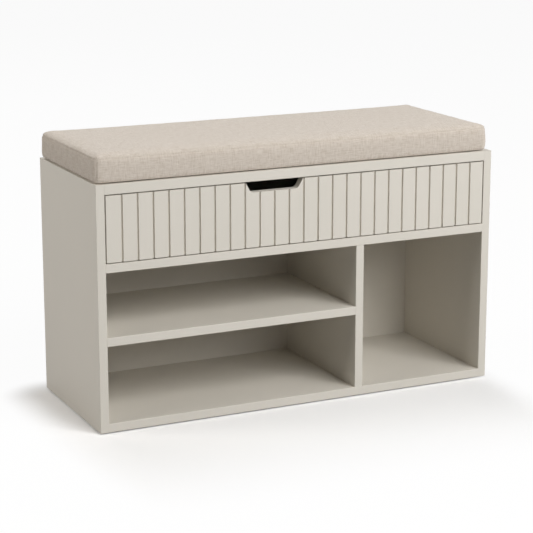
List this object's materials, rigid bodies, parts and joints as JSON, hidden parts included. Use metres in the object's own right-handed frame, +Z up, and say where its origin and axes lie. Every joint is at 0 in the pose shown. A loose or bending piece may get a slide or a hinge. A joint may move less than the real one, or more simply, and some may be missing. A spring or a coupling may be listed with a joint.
{
  "type": "entryway bench",
  "caption": "Entryway shoe bench: open cabinet with shoe bays and a boot bay, a full-width grooved drawer with a finger cut-out, and a loose seat cushion.",
  "frame": {"origin": "on the floor under the middle of the cabinet", "axes": "+X to the right along the front, +Y to the back, +Z up; the drawer front faces -Y"},
  "size_m": [0.8, 0.3, 0.502],
  "materials": {
    "greige_paint": "satin painted fibreboard",
    "painted_hardboard": "painted hardboard, matt",
    "hardboard": "smooth hardboard, matt",
    "drawer_board": "paper-foiled particle board, satin",
    "beech": "fluted beech, raw",
    "slide_steel": "bright zinc plated, rolled",
    "ball_steel": "polished",
    "zinc_hardware": "zinc plated, dull",
    "linen_weave": "plain weave with slubs, matt",
    "foam": "open-cell foam, matt",
    "nylon_strip": "hook and loop tape",
    "glide_nylon": "moulded nylon, matt"
  },
  "bodies": {
    "cabinet": {"left_side_panel": "greige_paint", "right_side_panel": "greige_paint", "top_panel": "greige_paint", "drawer_deck": "greige_paint", "bottom_panel": "greige_paint", "divider_panel": "greige_paint", "shoe_shelf": "greige_paint", "back_panel": "painted_hardboard", "floor_glides": "glide_nylon", "cam_locks": "zinc_hardware", "cam_bolts": "zinc_hardware", "wood_dowels": "beech", "back_panel_screws": "zinc_hardware", "slide_cabinet_member_left": "slide_steel", "slide_cabinet_member_right": "slide_steel", "cabinet_slide_screws": "zinc_hardware", "cushion_hook_strips": "nylon_strip"},
    "drawer": {"drawer_front": "greige_paint", "drawer_left_side": "drawer_board", "drawer_right_side": "drawer_board", "drawer_back": "drawer_board", "drawer_bottom": "hardboard", "drawer_bottom_rail": "drawer_board", "drawer_cam_locks": "zinc_hardware", "drawer_cam_bolts": "zinc_hardware", "drawer_dowels": "beech", "drawer_back_screws": "zinc_hardware", "drawer_bottom_screws": "zinc_hardware", "slide_drawer_member_left": "slide_steel", "slide_drawer_member_right": "slide_steel", "drawer_slide_screws": "zinc_hardware"},
    "left_slide_middle": {"slide_middle_member_left": "slide_steel"},
    "left_outer_cage": {"outer_ball_cage_left": "slide_steel", "outer_balls_left": "ball_steel"},
    "left_inner_cage": {"inner_ball_cage_left": "slide_steel", "inner_balls_left": "ball_steel"},
    "right_slide_middle": {"slide_middle_member_right": "slide_steel"},
    "right_outer_cage": {"outer_ball_cage_right": "slide_steel", "outer_balls_right": "ball_steel"},
    "right_inner_cage": {"inner_ball_cage_right": "slide_steel", "inner_balls_right": "ball_steel"},
    "cushion": {"cushion_cover": "linen_weave", "cushion_foam": "foam", "cushion_loop_strips": "nylon_strip"}
  },
  "joints": [
    {"name": "drawer_slide", "type": "slide", "parent": "cabinet", "child": "drawer", "axis": [0, -1, 0], "range_m": [0, 0.24]},
    {"name": "left_slide_middle_travel", "type": "slide", "parent": "cabinet", "child": "left_slide_middle", "axis": [0, -1, 0], "range_m": [0, 0.12]},
    {"name": "left_outer_cage_travel", "type": "slide", "parent": "cabinet", "child": "left_outer_cage", "axis": [0, -1, 0], "range_m": [0, 0.06]},
    {"name": "left_inner_cage_travel", "type": "slide", "parent": "cabinet", "child": "left_inner_cage", "axis": [0, -1, 0], "range_m": [0, 0.18]},
    {"name": "right_slide_middle_travel", "type": "slide", "parent": "cabinet", "child": "right_slide_middle", "axis": [0, -1, 0], "range_m": [0, 0.12]},
    {"name": "right_outer_cage_travel", "type": "slide", "parent": "cabinet", "child": "right_outer_cage", "axis": [0, -1, 0], "range_m": [0, 0.06]},
    {"name": "right_inner_cage_travel", "type": "slide", "parent": "cabinet", "child": "right_inner_cage", "axis": [0, -1, 0], "range_m": [0, 0.18]},
    {"name": "cushion_lift", "type": "slide", "parent": "cabinet", "child": "cushion", "axis": [0, 0, 1], "range_m": [0, 0.1]}
  ],
  "couplings": [
    {"joint": "left_slide_middle_travel", "follows": "drawer_slide", "ratio": 0.5},
    {"joint": "left_outer_cage_travel", "follows": "drawer_slide", "ratio": 0.25},
    {"joint": "left_inner_cage_travel", "follows": "drawer_slide", "ratio": 0.75},
    {"joint": "right_slide_middle_travel", "follows": "drawer_slide", "ratio": 0.5},
    {"joint": "right_outer_cage_travel", "follows": "drawer_slide", "ratio": 0.25},
    {"joint": "right_inner_cage_travel", "follows": "drawer_slide", "ratio": 0.75}
  ]
}
